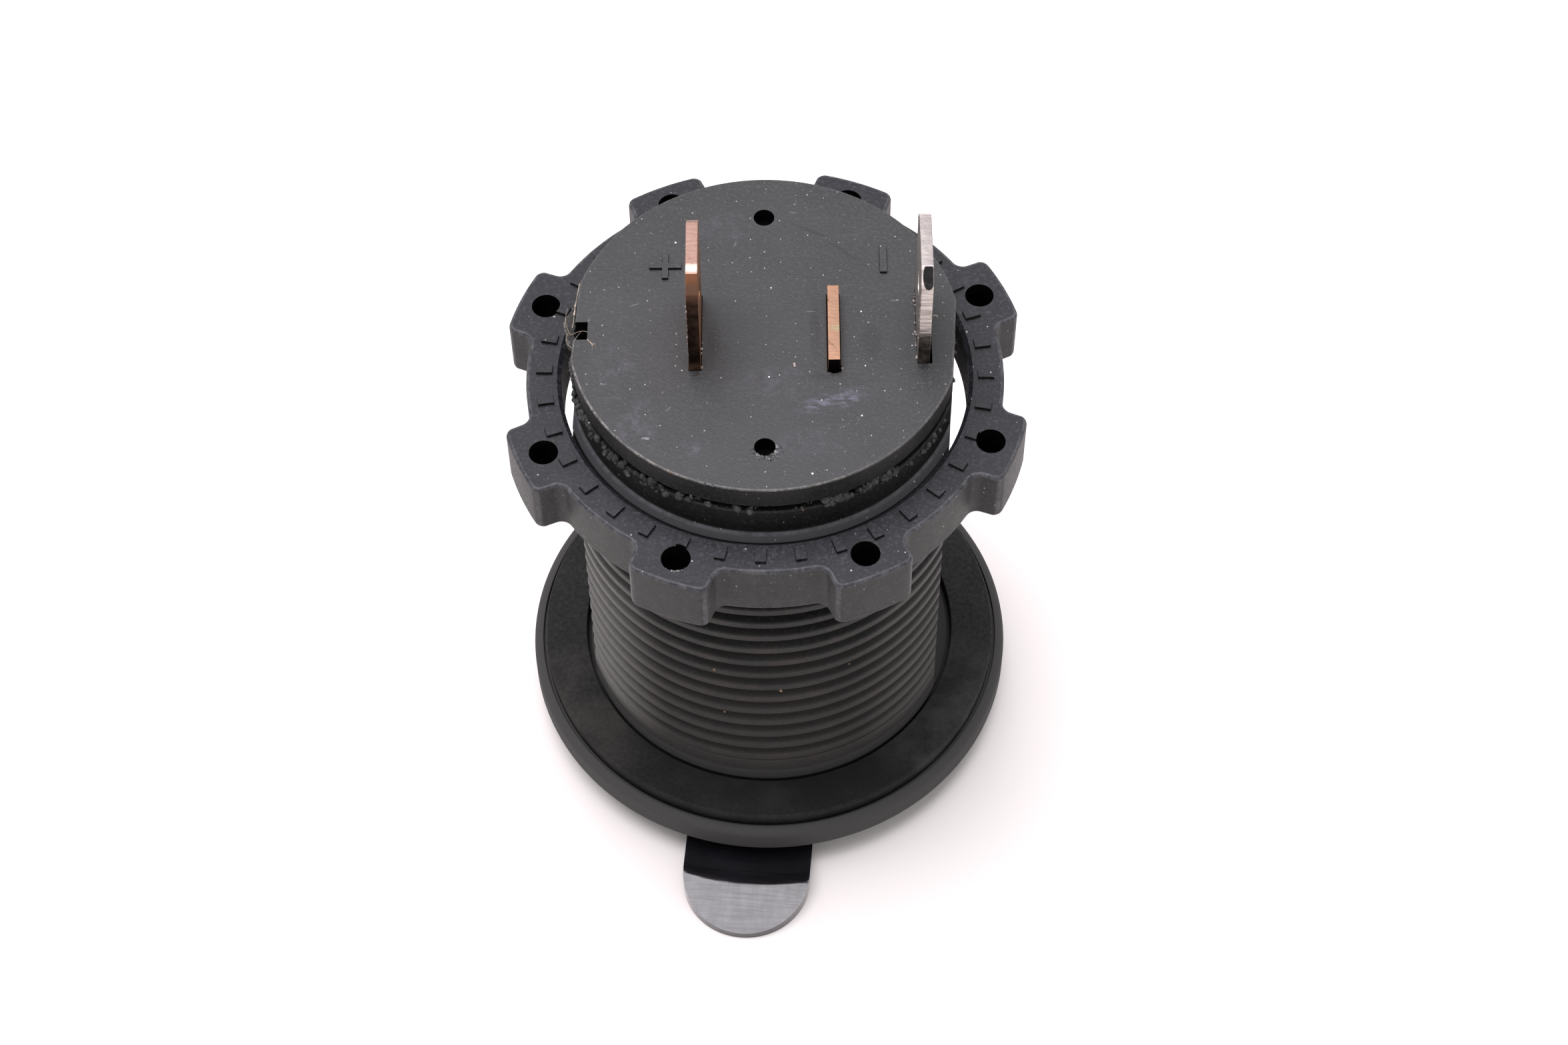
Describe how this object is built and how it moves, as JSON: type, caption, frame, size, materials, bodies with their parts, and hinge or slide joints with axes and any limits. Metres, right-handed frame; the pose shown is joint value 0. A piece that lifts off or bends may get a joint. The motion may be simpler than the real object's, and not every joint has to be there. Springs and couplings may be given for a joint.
{
  "type": "car 12v power socket",
  "caption": "Round panel-mount 12 volt accessory socket with a threaded barrel, lobed ring nut, push-on blade terminals and a hinged dust cap",
  "frame": {"origin": "on the axis of the socket's bore, in the plane of the panel seat (the rear face of the gasket)", "axes": "+Z along the barrel to the terminals, -Z out of the socket's mouth, -Y to the cap's finger tab, +X along the cap's hinge pin"},
  "size_m": [0.0364, 0.0456, 0.0517],
  "materials": {
    "housing_plastic": "moulded black nylon, worn",
    "cover_plastic": "moulded black nylon, scuffed and dusty",
    "nut_plastic": "moulded black nylon",
    "gasket_rubber": "flat black rubber",
    "sleeve_metal": "tinned sheet metal, worn",
    "contact_copper": "copper alloy strip, tarnished",
    "cap_gloss": "polished black plastic",
    "pin_steel": "bright steel wire"
  },
  "bodies": {
    "socket_body": {"housing": "housing_plastic", "rear_cover": "cover_plastic", "panel_gasket": "gasket_rubber", "contact_sleeve": "sleeve_metal", "positive_contact": "contact_copper", "hinge_pin": "pin_steel"},
    "nut": {"ring_nut": "nut_plastic"},
    "cap": {"dust_cap": "cap_gloss"}
  },
  "joints": [
    {"name": "cap_hinge", "type": "hinge", "parent": "socket_body", "child": "cap", "pos_m": [0, 0.01977, -0.0042], "axis": [1, 0, 0], "range_deg": [0, 170]},
    {"name": "nut_travel", "type": "slide", "parent": "socket_body", "child": "nut", "axis": [0, 0, -1], "range_m": [0, 0.0265]}
  ]
}
